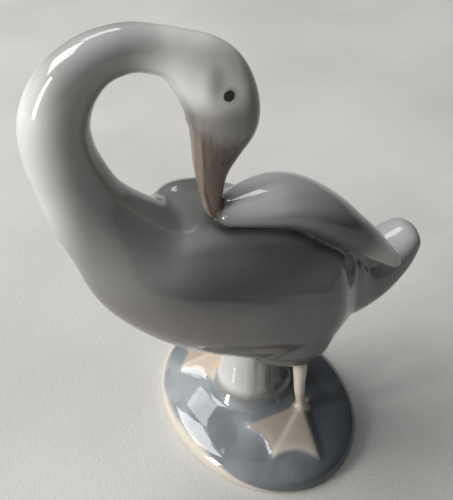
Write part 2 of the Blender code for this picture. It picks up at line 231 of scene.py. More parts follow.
def make_trunk():
    """Rump, belly and breast, then the neck's loop, the head and the bill, along one spine."""
    full = NECK_THICKNESS / 2
    nape = NAPE_THICKNESS / 2
    deep = HEAD_DEPTH / 2
    broad = HEAD_BREADTH / 2
    tall = BODY_DEPTH / 2
    wide = BODY_BREADTH / 2
    stations = []
    for reach, rise, depth, breadth in (
        (-0.0290, -0.0060, 0.10, 0.12), (-0.0280, -0.0060, 0.36, 0.34), (-0.0250, -0.0062, 0.60, 0.53),
        (-0.0208, -0.0061, 0.76, 0.70), (-0.0166, -0.0055, 0.87, 0.855), (-0.0118, -0.0042, 0.94, 0.955),
        (-0.0050, -0.0021, 0.98, 0.99), (0.0052, 0.0020, 0.94, 1.0), (0.0172, 0.0073, 0.85, 0.92),
        (0.0266, 0.0135, 0.70, 0.75),
    ):
        stations.append((BODY_FORWARD + reach, 0.0, BODY_HEIGHT + rise, depth * tall, breadth * wide))
    stations += [
        (LOOP_FORWARD + 0.0056, 0.0, LOOP_HEIGHT - 0.0280, 1.40 * full, 1.42 * full),
        (LOOP_FORWARD + 0.0106, 0.0, LOOP_HEIGHT - 0.0194, 1.12 * full, 1.12 * full),
        (LOOP_FORWARD + 0.0137, 0.0, LOOP_HEIGHT - 0.0104, 0.97 * full, 0.97 * full),
        (*loop_point(math.radians(-12), 0.1), 0.92 * full, 0.92 * full),
        (*loop_point(math.radians(12), 0.2), 0.88 * full, 0.88 * full),
        (*loop_point(math.radians(38), 0.35), 0.785 * full, 0.785 * full),
        (*loop_point(math.radians(64), 0.45), 1.07 * nape, 1.07 * nape),
        (*loop_point(math.radians(90), 0.6), 0.96 * nape, 0.97 * nape),
        (*loop_point(math.radians(112), 0.7), 0.96 * nape, 0.98 * nape),
        (HEAD_FORWARD + 0.0084, 0.75 * HEAD_LEAN, HEAD_HEIGHT + 0.0109, 1.09 * nape, 1.1 * nape),
        (HEAD_FORWARD + 0.0049, 0.85 * HEAD_LEAN, HEAD_HEIGHT + 0.0083, 0.88 * deep, 0.88 * broad),
        (HEAD_FORWARD + 0.0019, 0.92 * HEAD_LEAN, HEAD_HEIGHT + 0.0049, 0.98 * deep, 0.97 * broad),
        (HEAD_FORWARD, HEAD_LEAN, HEAD_HEIGHT, deep, broad),
        (HEAD_FORWARD - 0.0001, 1.1 * HEAD_LEAN, HEAD_HEIGHT - 0.0048, 0.98 * deep, 0.95 * broad),
    ]
    base = HEAD_HEIGHT - 0.0095
    for share, shift, depth, breadth in (
        (0.0, 0.0003, 1.18, 1.0), (0.19, 0.0013, 0.92, 0.87), (0.38, 0.0019, 0.70, 0.76),
        (0.62, 0.0020, 0.52, 0.68), (0.84, 0.0018, 0.40, 0.56), (0.95, 0.0016, 0.28, 0.40),
        (1.0, 0.0014, 0.08, 0.10),
    ):
        stations.append((
            HEAD_FORWARD + 0.0010 + shift, (1.2 + 0.2 * share) * HEAD_LEAN, base - share * BILL_LENGTH,
            depth * BILL_DEPTH / 2, breadth * BILL_DEPTH / 2,
        ))
    return loft("trunk", stations, SIDEWAYS)


def loop_point(angle, lean):
    """Centre of the neck at an angle round its loop."""
    forward = LOOP_FORWARD + LOOP_REACH * math.cos(angle)
    return (forward, lean * HEAD_LEAN, LOOP_HEIGHT + LOOP_RISE * math.sin(angle))


def make_tail():
    stations = []
    for share, depth, breadth in (
        (0.0, 1.6, 1.3), (0.30, 1.72, 1.2), (0.55, 1.38, 0.94), (0.78, 0.87, 0.80),
        (0.92, 0.54, 0.62), (0.975, 0.35, 0.43), (1.0, 0.05, 0.08),
    ):
        forward = -TAIL_ROOT - share * (TAIL_REACH - TAIL_ROOT)
        height = BODY_HEIGHT + share * (TAIL_HEIGHT - BODY_HEIGHT) - TAIL_SAG * math.sin(math.pi * share)
        stations.append((forward, 0.0, height, depth * TAIL_DEPTH / 2, breadth * TAIL_BREADTH / 2))
    return loft("tail", stations, SIDEWAYS)


# Along a wing from its front: share of its length, how far the raised and the folded wing have dropped
# there, and shares of its thickness and breadth
WING_FORM = (
    (0.0, 0.0012, 0.0018, 0.10, 0.10), (0.02, 0.0008, 0.0008, 0.42, 0.40),
    (0.10, 0.0002, -0.0006, 0.60, 0.66), (0.22, 0.0000, 0.0017, 0.78, 0.88),
    (0.33, 0.0005, 0.0055, 0.90, 0.97), (0.44, 0.0026, 0.0094, 0.98, 1.0),
    (0.55, 0.0061, 0.0124, 1.0, 0.98), (0.66, 0.0103, 0.0148, 0.95, 0.90),
    (0.77, 0.0149, 0.0170, 0.82, 0.76), (0.88, 0.0199, 0.0190, 0.58, 0.56),
    (0.97, 0.0241, 0.0205, 0.34, 0.34), (1.0, 0.0252, 0.0210, 0.10, 0.10),
)


def make_raised_wing():
    """The left wing, lifted off the flank, with a cover lobe that ends in front of its tip."""
    across = Vector((0.0, -math.cos(WING_TILT), math.sin(WING_TILT)))
    lobe, cover, root = [], [], []
    for share, drop, _, thick, wide in eased(WING_FORM, LOFT_STEPS):
        forward = WING_FORWARD - share * WING_LENGTH
        left = WING_LEFT + WING_SPREAD * share
        height = WING_HEIGHT - drop
        tall = thick * WING_THICKNESS / 2
        half = wide * WING_BREADTH / 2
        lobe.append((forward, left, height, tall, half))
        root.append((
            forward, left - ROOT_IN, height - ROOT_DOWN,
            ROOT_THICKNESS * tall, ROOT_BREADTH * half,
        ))
        if share < COVER_SHARE:
            end = math.sqrt(1.0 - (share / COVER_SHARE) ** 6)
            cover.append((
                forward, left - wide * COVER_IN, height + thick * COVER_UP,
                COVER_THICKNESS * end * tall, COVER_BREADTH * end * half,
            ))
    return [
        loft("left_wing", lobe, across, 1),
        loft("left_wing_cover", cover, across, 1),
        loft("left_wing_root", root, across, 1),
    ]


def make_folded_wing():
    """The right wing, the same lobe laid down the flank."""
    across = Vector((0.0, math.cos(FOLDED_TILT), -math.sin(FOLDED_TILT)))
    stations = []
    for share, _, drop, thick, wide in WING_FORM:
        stations.append((
            FOLDED_FORWARD - share * FOLDED_LENGTH,
            -(FOLDED_RIGHT + FOLDED_SWING * share - FOLDED_CLOSING * share ** 2),
            FOLDED_HEIGHT - drop, thick * WING_THICKNESS / 2, wide * WING_BREADTH / 2,
        ))
    return [loft("right_wing", stations, across)]


def plinth_top(x, y):
    """Height of the domed plinth under a point."""
    c, s = math.cos(PLINTH_TURN), math.sin(PLINTH_TURN)
    u = (x * c - y * s) / (PLINTH_WIDTH / 2)
    v = (x * s + y * c) / (PLINTH_LENGTH / 2)
    inside = max(0.0, 1.0 - math.hypot(u, v) ** DOME_FULLNESS)
    return PLINTH_RIM + (PLINTH_CROWN - PLINTH_RIM) * inside ** DOME_POWER


def make_plinth():
    c, s = math.cos(PLINTH_TURN), math.sin(PLINTH_TURN)
    rings = [(0.985, -BELOW), (1.0, PLINTH_CHAMFER), (1.0, PLINTH_RIM)]
    rings += [(math.cos(0.48 * math.pi * k / DOME_RINGS), None) for k in range(1, DOME_RINGS + 1)]
    points = []
    for share, height in rings:
        for j in range(SIDES * 2):
            turn = math.pi * j / SIDES
            u = share * PLINTH_WIDTH / 2 * math.cos(turn)
            v = share * PLINTH_LENGTH / 2 * math.sin(turn)
            x, y = u * c + v * s, v * c - u * s
            points.append((x, y, plinth_top(x, y) if height is None else height))
    count = SIDES * 2
    faces = [tuple(range(count))]
    faces.append(tuple((len(rings) - 1) * count + j for j in range(count)))
    for k in range(len(rings) - 1):
        for j in range(count):
            a, b = k * count + j, k * count + (j + 1) % count
            faces.append((a, b, b + count, a + count))
    return mesh_object("plinth", points, faces)


def make_support():
    stations = []
    for share, flare in ((0.0, 1.0), (0.09, 1.0), (0.18, 0.35), (0.33, 0.0), (0.6, 0.0), (1.0, 0.0)):
        height = SUPPORT_FOOT + share * (SUPPORT_TOP - SUPPORT_FOOT)
        half = SUPPORT_BREADTH / 2 + flare * SUPPORT_FLARE
        stations.append((SUPPORT_FORWARD, -SUPPORT_RIGHT, height, half, half))
    return loft("support", stations, SIDEWAYS)


def heel_of(side):
    """Where the leg meets the foot. side is 1 on the left and -1 on the right."""
    return LEFT_HEEL if side > 0 else RIGHT_HEEL


def toe_tips(side):
    forward, left = heel_of(side)
    heading = LEFT_HEADING if side > 0 else RIGHT_HEADING
    tips = []
    for turn, share in ((-38.0, 0.92), (0.0, 1.0), (42.0, 0.90)):
        angle = heading + math.radians(turn)
        reach = share * FOOT_LENGTH
        tips.append((forward + reach * math.cos(angle), left + reach * math.sin(angle)))
    return tips


def on_plinth(forward, left, above):
    """A place above the plinth's domed top."""
    return (forward, left, plinth_top(-forward, -left) + above)


def make_toe(name, heel, tip):
    ahead = (tip[0] - heel[0], tip[1] - heel[1])
    stations = []
    for share, girth in ((0.0, 1.2), (0.3, 0.85), (0.6, 0.72), (0.85, 0.62), (0.97, 0.38), (1.0, 0.1)):
        centre = on_plinth(heel[0] + share * ahead[0], heel[1] + share * ahead[1], 0.0)
        stations.append((*centre, girth * TOE_THICKNESS / 2, girth * TOE_THICKNESS / 2))
    return loft(name, stations, Vector((ahead[1], -ahead[0], 0.0)), 3)


def make_hind_toe(name, heel):
    """A short toe that points back, a little above the plinth."""
    stations = []
    for share, girth in ((0.0, 0.9), (0.5, 0.8), (0.9, 0.5), (1.0, 0.1)):
        centre = on_plinth(heel[0] - share * HIND_TOE, heel[1], HIND_TOE_RISE)
        stations.append((*centre, girth * TOE_THICKNESS / 2, girth * TOE_THICKNESS / 2))
    return loft(name, stations, SIDEWAYS, 3)


def make_web(name, heel, tips):
    """The web between the toes, with hollow front edges."""
    edge = []
    for a, b in zip(tips, tips[1:]):
        for k in range(WEB_STEPS + 1):
            t = k / WEB_STEPS
            hollow = 1.0 - WEB_HOLLOW * math.sin(math.pi * t)
            edge.append(tuple(h + (p + t * (q - p) - h) * hollow for h, p, q in zip(heel, a, b)))
    rows = []
    for share in (0.02, 0.3, 0.6, 0.85, 1.0):
        rows.append([(heel[0] + share * (f - heel[0]), heel[1] + share * (l - heel[1])) for f, l in edge])
    points = []
    for above in (WEB_THICKNESS, -2 * WEB_THICKNESS):
        for row in rows:
            points += [place(*on_plinth(f, l, above)) for f, l in row]
    wide, deep = len(edge), len(rows)
    faces = []
    for layer in (0, 1):
        for k in range(deep - 1):
            for j in range(wide - 1):
                a = layer * wide * deep + k * wide + j
                faces.append((a, a + 1, a + 1 + wide, a + wide))
    rim = list(range(wide))
    rim += [k * wide + wide - 1 for k in range(1, deep)]
    rim += [(deep - 1) * wide + j for j in reversed(range(wide - 1))]
    rim += [k * wide for k in reversed(range(1, deep - 1))]
    for a, b in zip(rim, rim[1:] + rim[:1]):
        faces.append((a, b, b + wide * deep, a + wide * deep))
    return mesh_object(name, points, faces)


def make_foot(name, side):
    heel = heel_of(side)
    tips = toe_tips(side)
    pieces = [make_toe(f"{name}_toe_{k}", heel, tip) for k, tip in enumerate(tips)]
    return [*pieces, make_hind_toe(f"{name}_hind_toe", heel), make_web(f"{name}_web", heel, tips)]


def make_leg(name, side):
    forward, left = heel_of(side)
    thin = LEG_THICKNESS / 2
    thick = LEG_ROOT / 2
    stations = [(*on_plinth(forward, left, -BELOW), 1.2 * thin, 1.2 * thin)]
    for ahead, inward, height, girth in (
        (0.0004, 0.0, plinth_top(-forward, -left) + 0.003, thin),
        (0.0010, 0.0, PLINTH_CROWN + 0.008, 1.05 * thin),
        (0.0012, 0.0, PLINTH_CROWN + 0.014, 1.25 * thin),
        (0.0016, 0.0, PLINTH_CROWN + 0.019, 0.55 * thick),
        (0.0020, 0.001, PLINTH_CROWN + 0.025, thick),
        (0.0024, 0.002, BODY_HEIGHT - 0.010, thick),
    ):
        stations.append((forward + ahead, left - side * inward, height, girth, girth))
    return loft(name, stations, SIDEWAYS, 4)


def make_thigh(name, side):
    """Swelling of the flank over the leg, with a blunt rear end."""
    stations = []
    for share, tall, wide in (
        (0.0, 0.08, 0.08), (0.04, 0.34, 0.34), (0.16, 0.62, 0.62), (0.36, 0.88, 0.88), (0.60, 1.0, 1.0),
        (0.80, 0.95, 0.91), (0.93, 0.70, 0.68), (0.985, 0.38, 0.37), (1.0, 0.1, 0.1),
    ):
        height = THIGH_HEIGHT + THIGH_DEPTH / 2 + THIGH_SLOPE * (0.6 - share)
        stations.append((
            THIGH_FORWARD - share * THIGH_LENGTH, side * THIGH_LEFT, height,
            tall * THIGH_DEPTH / 2, wide * THIGH_BREADTH / 2,
        ))
    return loft(name, stations, SIDEWAYS)


def settled(thing):
    """The object with its modifiers applied."""
    bpy.context.view_layer.update()
    graph = bpy.context.evaluated_depsgraph_get()
    mesh = bpy.data.meshes.new_from_object(thing.evaluated_get(graph))
    thing.modifiers.clear()
    thing.data = mesh
    return thing


def fuse(name, forms, grain):
    """One skin round all the forms."""
    joined = bmesh.new()
    for form in forms:
        joined.from_mesh(form.data)
    mesh = bpy.data.meshes.new(name)
    joined.to_mesh(mesh)
    joined.free()
    made = bpy.data.objects.new(name, mesh)
    bpy.context.scene.collection.objects.link(made)
    skin = made.modifiers.new("Skin", "REMESH")
    skin.mode = "VOXEL"
    skin.voxel_size = grain
    skin.use_smooth_shade = True
    return settled(made)


def tree_of(thing):
    mesh = thing.data
    return BVHTree.FromPolygons([v.co for v in mesh.vertices], [p.vertices for p in mesh.polygons])


def blend(made, forms):
    """Softens the surface, and most of all where two forms meet, but keeps a crease round each wing."""
    trees = [(tree_of(form), CREASE_REACH if "wing" in form.name else BLEND_REACH) for form in forms]
    group = made.vertex_groups.new(name="meeting")
    for vertex in made.data.vertices:
        near = sorted((tree.find_nearest(vertex.co, FAR)[3] or FAR, reach) for tree, reach in trees)
        weight = 1.0 - near[1][0] / min(near[0][1], near[1][1])
        if weight > 0:
            group.add([vertex.index], weight, "REPLACE")
    meeting = made.modifiers.new("Blend", "SMOOTH")
    meeting.vertex_group = "meeting"
    meeting.factor = 0.5
    meeting.iterations = BLEND_PASSES
    surface = made.modifiers.new("Surface", "SMOOTH")
    surface.factor = 0.5
    surface.iterations = SURFACE_PASSES
    return settled(made)


def level_underside(made):
    work = bmesh.new()
    work.from_mesh(made.data)
    cut = bmesh.ops.bisect_plane(
        work, geom=work.verts[:] + work.edges[:] + work.faces[:],
        plane_co=(0, 0, 0), plane_no=(0, 0, 1), clear_inner=True,
    )
    rim = [e for e in cut["geom_cut"] if isinstance(e, bmesh.types.BMEdge)]
    bmesh.ops.contextual_create(work, geom=rim)
    bmesh.ops.recalc_face_normals(work, faces=work.faces)
    work.to_mesh(made.data)
    work.free()


def make_vent(made):
    work = bmesh.new()
    bore = VENT_BORE / 2
    bmesh.ops.create_cone(work, cap_ends=True, segments=24, radius1=bore, radius2=bore, depth=2 * VENT_DEPTH)
    mesh = bpy.data.meshes.new("vent")
    work.to_mesh(mesh)
    work.free()
    cutter = bpy.data.objects.new("vent", mesh)
    bpy.context.scene.collection.objects.link(cutter)
    cutter.location = place(VENT_FORWARD, VENT_LEFT, 0.0)
    cutter.hide_render = True
    cutter.display_type = "WIRE"
    hole = made.modifiers.new("Vent", "BOOLEAN")
    hole.operation = "DIFFERENCE"
    hole.solver = "EXACT"
    hole.object = cutter


def all_forms():
    forms = [make_trunk(), make_tail(), make_plinth(), make_support()]
    forms += make_raised_wing()
    forms += make_folded_wing()
    for side, word in ((1, "left"), (-1, "right")):
        forms.append(make_leg(word + "_leg", side))
        forms.append(make_thigh(word + "_thigh", side))
        forms += make_foot(word + "_foot", side)
    return forms


# Masks of the painted zones: places on the bird, and where each mask starts to fade and ends
BILL_FORWARD = (0.002, 0.0215)
BILL_LEFT = -0.004
BILL_HEIGHT = (0.0735, 0.103)
BILL_EDGE = (0.0182, 0.0986)
BILL_EDGE_SLOPE = 0.5
BILL_EDGE_FADE = (-0.0050, 0.0065)
BILL_REACH = 0.002
BILL_FADE = (0.00035, 0.0008)
CHEEK_FORWARD = (-0.002, 0.030)
CHEEK_HEIGHT = 0.088
MANDIBLE_HEIGHTS = (0.0755, 0.0780, 0.0829, 0.0894, 0.0987)
MANDIBLE_FORWARDS = (0.0146, 0.0158, 0.0168, 0.0171, 0.0174)
FOOT_FADE = (-0.0009, 0.0005)
FOOT_TOP_FADE = (0.0105, 0.0115)
LEG_AROUND = 0.0075
LEG_HEIGHT = 0.036
LEG_REACH = 0.003
LEG_FADE = (0.0004, 0.0012)
LEG_TOP_FADE = (0.0235, 0.0300)
PLINTH_FADE = (0.0006, 0.0030)
PLINTH_HEIGHT = 0.014
SUPPORT_MIDDLE = (0.002, -0.001)
SUPPORT_FADE = (0.0005, 0.0042)
SUPPORT_FOOT_FADE = (0.0022, 0.0056)
SUPPORT_TOP_FADE = (0.030, 0.036)
MILLIMETRES = 1000.0

# Painted shade in creases, and painted light on upper sides
CREASE_RAYS = 12
CREASE_DEPTH = 0.007
CREASE_LIFT = 0.0002
TOP_LIGHT_FADE = (0.30, 0.97)
TOP_LIGHT_PASSES = 31
BACK_HOLLOW = (0.0175, -0.0030, 0.0740)
BACK_HOLLOW_FADE = (0.008, 0.019)
BACK_HOLLOW_SHADE_SHARE = 0.8

# Plumage: where its tones begin and end, as x below 0 towards the front and z upwards
NECK_X = (-0.016, -0.036)
NECK_Z = (0.050, 0.076)
FRONT_X = (-0.0425, -0.0515)
FRONT_Z = (0.060, 0.085)
SHOULDER_X = (-0.036, -0.018)
SHOULDER_Y = (0.008, 0.013)
SHOULDER_LOW_Z = (0.056, 0.064)
SHOULDER_TOP_Z = (0.078, 0.070)
WING_TIP = (-0.0265, 0.0150, 0.0578)
WING_TIP_SIZE = 0.006
WING_TIP_FADE = 0.0055
BREAST_X = (0.004, -0.03)
BREAST_Z = (0.072, 0.045)

# Head and bill
HEAD_MIDDLE = (0.0145, 0.0045, 0.1115)
HEAD_SIZE = 0.0142
HEAD_FADE = 0.0055
CHEEK_Z = (0.1085, 0.1010)
CROWN_X = (-0.0100, -0.0064)
CROWN_Z = (0.090, 0.096)
SMUDGES = (((0.0148, 0.0100, 0.1090), 0.0016, 0.75), ((0.0128, 0.0108, 0.1010), 0.0013, 0.5))
SMUDGE_SQUASH = 0.45
BILL_FEATHERING = 0.55
HORN_Z = (0.098, 0.080)
OUTSIDE = 0.08
EYE = (0.0125, 0.1071)
EYE_RADIUS = 0.00118
EYE_FADE = 0.00012
EYE_RING = 1.55
EYE_RING_FADE = 0.5
NOSTRIL = (0.0136, 0.0914)
NOSTRIL_SIZE = 0.00042
NOSTRIL_FADE = 0.0002
NOSTRIL_SQUASH = 0.42

# Plinth, support and feet
TAILWARD = (0.93, -0.36, 0.0)
PLINTH_SHADED_BACK = (0.000, 0.018)
PLINTH_LEFT_Y = (-0.010, -0.026)
SUPPORT_LIT_SIDE = (-0.0005, -0.0034)
WEB_RIGHT_Y = (0.004, 0.012)
WEB_TOP_Z = (0.0125, 0.0105)
OUTER_WEB_SHADE_FADE = (-0.2, 1.6)
TOE_RIDGE = (0.9, 0.2)
LEG_Z = (0.0125, 0.0170)
RIM_Z = (0.0046, 0.0034)
RIM_WAVE = 0.0026
RIM_BACK = (-0.016, 0.006)
RIM_BACK_DROP = 0.0034

# Table, lamps and camera
TABLE_REACH = 4.0
LAMP_AIM = Vector((0.0, 0.0, 0.06))
LAMPS = (
    ("window", (-0.95, -0.10, 0.26), 1.3, 0.22, 0.90, 11.5, (1.0, 0.99, 0.975)),
    ("skylight", (-0.60, 0.36, 0.72), 1.2, 0.60, 0.56, 8.4, (1.0, 1.0, 0.99)),
    ("back window", (-0.10, 0.57, 0.82), 1.3, 0.55, 0.32, 2.7, (1.0, 1.0, 1.0)),
)
ROOM_BRIGHT_SIDE = (-0.52, -0.12, 0.84)
ROOM_FADE = (0.15, 1.0)
ROOM_DIM = (0.030, 0.029, 0.028, 1.0)
ROOM_BRIGHT = (0.62, 0.63, 0.65, 1.0)
CAMERA_PLACE = Vector((-0.0650, -0.1459, 0.1900))
CAMERA_TURN = math.radians(-21.0)
CAMERA_DIP = math.radians(40.0)
CAMERA_LENS = 61.2
CAMERA_SENSOR = 36.0
CAMERA_NEAR = 0.005


def linear(*shade):
    """A colour given as 0 to 255 in sRGB, for a shader."""
    parts = (((c / 255 + 0.055) / 1.055) ** 2.4 if c > 10 else c / 255 / 12.92 for c in shade)
    return (*parts, 1.0)


PLUMAGE = linear(104, 103, 101)
PLUMAGE_CLOUD = linear(95, 95, 94)
# Painted light for upper sides
PLUMAGE_TOP_LIGHT = linear(182, 183, 182)
NECK_TONE = linear(146, 145, 142)
FRONT_TONE = linear(212, 211, 207)
# Painted shade under the shoulders
SHOULDER_SHADE_TONE = linear(64, 64, 63)
WING_TIP_TONE = linear(190, 189, 185)
BREAST_TONE = linear(124, 113, 108)
HEAD_TONE = linear(236, 235, 230)
CHEEK_TONE = linear(128, 124, 118)
# Painted shade and dark reflection on the crown
CROWN_SHADE_TONE = linear(60, 60, 58)
SMUDGE_TONE = linear(120, 120, 120)
HORN_TOP = linear(70, 58, 49)
HORN_TIP = linear(90, 77, 66)
HORN_STREAK = linear(94, 80, 68)
LOWER_MANDIBLE = linear(150, 136, 123)
MANDIBLE_LINE = linear(74, 62, 54)
SLATE = linear(116, 122, 126)
SLATE_PALE = linear(154, 159, 162)
SLATE_FLECK = linear(112, 119, 125)
# Painted shade and dark reflection at the plinth's back
SLATE_SHADED_BACK = linear(62, 67, 72)
SLATE_LEFT = linear(74, 79, 84)
REED = linear(172, 173, 170)
REED_STREAK = linear(108, 109, 108)
# Painted light on the support's side towards the window
REED_LIT_SIDE = linear(202, 202, 198)
WEB = linear(192, 182, 167)
WEB_CLOUD = linear(180, 169, 154)
WEB_RIGHT = linear(206, 188, 170)
# Painted shade on the outer webs
WEB_SHADE_TONE = linear(156, 145, 131)
TOE_TONE = linear(214, 206, 193)
LEG_TONE = linear(224, 214, 199)
RIM_TONE = linear(200, 191, 177)
EYE_RING_TONE = linear(186, 183, 177)
EYE_TONE = linear(7, 6, 6)
NOSTRIL_TONE = linear(48, 38, 34)
# Painted shade in creases
CREASE_SHADE_TONE = linear(44, 42, 40)
BARE = linear(226, 221, 211)
BARE_SHADE = linear(209, 202, 190)
PAPER = linear(202, 201, 198)
PAPER_CLOUD = linear(189, 188, 184)
PAPER_FIBRE = linear(188, 186, 181)
BACKDROP = linear(166, 166, 163)


def ramp(values, start, end):
    """Smooth step from 0 at start to 1 at end."""
    t = np.clip((values - start) / (end - start), 0.0, 1.0)
    return t * t * (3.0 - 2.0 * t)


def within(values, low, high):
    return (values > low) & (values < high)


def coordinates(mesh):
    flat = np.zeros(len(mesh.vertices) * 3, np.float32)
    mesh.vertices.foreach_get("co", flat)
    return flat.reshape(-1, 3).astype(float)


def on_bird(points):
    """Points as their forward, left and height places."""
    return -points[:, 0], -points[:, 1], points[:, 2]


def gap_to(tree, points, mask, reach):
    """Distance from each masked point to a surface, and reach for the rest."""
    gaps = np.full(len(points), reach)
    for index in np.nonzero(mask)[0]:
        found = tree.find_nearest(points[index], reach)[3]
        if found is not None:
            gaps[index] = found
    return gaps


def outline_gap(points, outline):
    """Signed distance from plan points to a closed outline, below 0 inside."""
    away = np.full(len(points), 1e9)
    inside = np.zeros(len(points), bool)
    for a, b in zip(outline, outline[1:] + outline[:1]):
        a, b = np.array(a), np.array(b)
        run = b - a
        share = np.clip((points - a) @ run / (run @ run), 0.0, 1.0)
        away = np.minimum(away, np.linalg.norm(points - a - share[:, None] * run, axis=1))
        crosses = (a[1] > points[:, 1]) != (b[1] > points[:, 1])
        with np.errstate(divide="ignore", invalid="ignore"):
            reach = (b[0] - a[0]) * (points[:, 1] - a[1]) / (b[1] - a[1]) + a[0]
        inside ^= crosses & (points[:, 0] < reach)
    return np.where(inside, -away, away)


def foot_outline(side):
    """Plan of one webbed foot: heel, then toe tips with the hollow web edges between them."""
    heel = np.array(heel_of(side))
    tips = [np.array(t) for t in toe_tips(side)]
    outline = []
    for a, b in zip(tips, tips[1:]):
        for k in range(WEB_STEPS):
            t = k / WEB_STEPS
            outline.append(heel + (a + t * (b - a) - heel) * (1.0 - WEB_HOLLOW * math.sin(math.pi * t)))
    outline.append(tips[-1])
    outline.append(heel)
    return [tuple(p) for p in outline]


def add_mask(piece, name, values):
    made = piece.data.attributes.new(name, "FLOAT", "POINT")
    made.data.foreach_set("value", np.asarray(values, np.float32))


def paint_head(piece, points, trunk):
    """Masks of the bill's horn and of the cheek, and the way forward from the line between the mandibles."""
    forward, left, height = on_bird(points)
    boxed = within(forward, *BILL_FORWARD) & (left > BILL_LEFT) & within(height, *BILL_HEIGHT)
    first = len(trunk.vertices) - BILL_STATIONS * LOFT_STEPS * SIDES
    faces = [face.vertices for face in trunk.polygons if min(face.vertices) >= first]
    tree = BVHTree.FromPolygons([v.co for v in trunk.vertices], faces)
    gap = gap_to(tree, points, boxed, BILL_REACH)
    edge = BILL_EDGE[1] - BILL_EDGE_SLOPE * (BILL_EDGE[0] - forward)
    bill = 1.0 - ramp(height - edge, *BILL_EDGE_FADE)
    add_mask(piece, "bill", bill * boxed * (1.0 - ramp(gap, *BILL_FADE)))
    add_mask(piece, "cheek", 1.0 * within(forward, *CHEEK_FORWARD) * (height > CHEEK_HEIGHT))
    seam = np.interp(height, MANDIBLE_HEIGHTS, MANDIBLE_FORWARDS)
    add_mask(piece, "mandible", (forward - seam) * MILLIMETRES)


def paint_feet(piece, points, named):
    """Masks of the feet with their legs, of the places beside each middle toe, and of the outer webs, which
    get painted shade.
    """
    forward, left, height = on_bird(points)
    plan = np.column_stack([forward, left])
    low = 1.0 - ramp(height, *FOOT_TOP_FADE)
    short = 1.0 - ramp(height, *LEG_TOP_FADE)
    feet = np.zeros(len(points))
    ridges = np.full(len(points), 1.0)
    outer = np.zeros(len(points))
    for side, word in ((1, "left"), (-1, "right")):
        feet = np.maximum(feet, (1.0 - ramp(outline_gap(plan, foot_outline(side)), *FOOT_FADE)) * low)
        heel = np.array(heel_of(side))
        around = (np.linalg.norm(plan - heel, axis=1) < LEG_AROUND) & (height < LEG_HEIGHT)
        gap = gap_to(tree_of(named[word + "_leg"]), points, around, LEG_REACH)
        feet = np.maximum(feet, (1.0 - ramp(gap, *LEG_FADE)) * short)
        middle = np.array(toe_tips(side)[1]) - heel
        middle /= np.linalg.norm(middle)
        beside = (plan - heel) @ np.array([-middle[1], middle[0]])
        own = left * side > 0.0
        ridges = np.where(own, np.abs(beside) * MILLIMETRES, ridges)
        outer = np.where(own, -beside * MILLIMETRES, outer)
    add_mask(piece, "foot", feet)
    add_mask(piece, "ridge", ridges)
    add_mask(piece, "outer_web_shade", outer)


def paint_base(piece, points):
    """Masks of the plinth and of the support between the legs."""
    forward, left, height = on_bird(points)
    over = height - np.array([plinth_top(x, y) for x, y in points[:, :2]])
    add_mask(piece, "plinth", (1.0 - ramp(over, *PLINTH_FADE)) * (height < PLINTH_HEIGHT))
    away = np.hypot(forward - SUPPORT_MIDDLE[0], left - SUPPORT_MIDDLE[1])
    half = SUPPORT_BREADTH / 2
    beside = 1.0 - ramp(away, half + SUPPORT_FADE[0], half + SUPPORT_FADE[1])
    clear_of_base = ramp(over, *SUPPORT_FOOT_FADE)
    add_mask(piece, "support", beside * clear_of_base * (1.0 - ramp(height, *SUPPORT_TOP_FADE)))


def spread(count):
    """Directions over a half sphere round +Z, closer together near its top."""
    out = []
    for k in range(count):
        rise = math.sqrt(1.0 - (k + 0.5) / count)
        turn = k * math.pi * (3.0 - math.sqrt(5.0))
        flat = math.sqrt(1.0 - rise * rise)
        out.append(Vector((flat * math.cos(turn), flat * math.sin(turn), rise)))
    return out


def softened(piece, values, passes):
    """Vertex values after each has been averaged with its neighbours a number of times."""
    ends = np.zeros(len(piece.data.edges) * 2, np.int32)
    piece.data.edges.foreach_get("vertices", ends)
    first, last = ends.reshape(-1, 2).T
    count = len(values)
    joined = np.bincount(first, minlength=count) + np.bincount(last, minlength=count) + 1.0
    for _ in range(passes):
        near = np.bincount(first, values[last], count) + np.bincount(last, values[first], count)
        values = (values + near) / joined
    return values


def paint_shade_and_light(piece, tree):
    """Masks of painted shade, from how closed in each vertex is, and of painted light, from how much it faces
    up, with painted shade in the back's hollow.
    """
    rays = spread(CREASE_RAYS)
    closed = []
    for vertex in piece.data.vertices:
        lift = vertex.co + vertex.normal * CREASE_LIFT
        turn = vertex.normal.to_track_quat("Z", "Y")
        total = 0.0
        for ray in rays:
            far = tree.ray_cast(lift, turn @ ray, CREASE_DEPTH)[3]
            if far is not None:
                total += 1.0 - far / CREASE_DEPTH
        closed.append(total / CREASE_RAYS)
    # Painted shade: creases and closed-in places are darkened where shade falls
    add_mask(piece, "crease", closed)
    from_hollow = np.linalg.norm(coordinates(piece.data) - place(*BACK_HOLLOW), axis=1)
    hollow = 1.0 - ramp(from_hollow, *BACK_HOLLOW_FADE)
    # Painted light: upper sides paler, with painted shade in the back's hollow
    above = ramp(np.array([vertex.normal.z for vertex in piece.data.vertices]), *TOP_LIGHT_FADE)
    above = above * (1.0 - BACK_HOLLOW_SHADE_SHARE * hollow)
    add_mask(piece, "above", softened(piece, above, TOP_LIGHT_PASSES))


def ray_to(tree, forward, height, side):
    """Where the surface is met, coming in from one side at a given place on the bird's outline."""
    start = place(forward, side * OUTSIDE, height)
    return tree.ray_cast(start, Vector((0.0, side, 0.0)))[0]


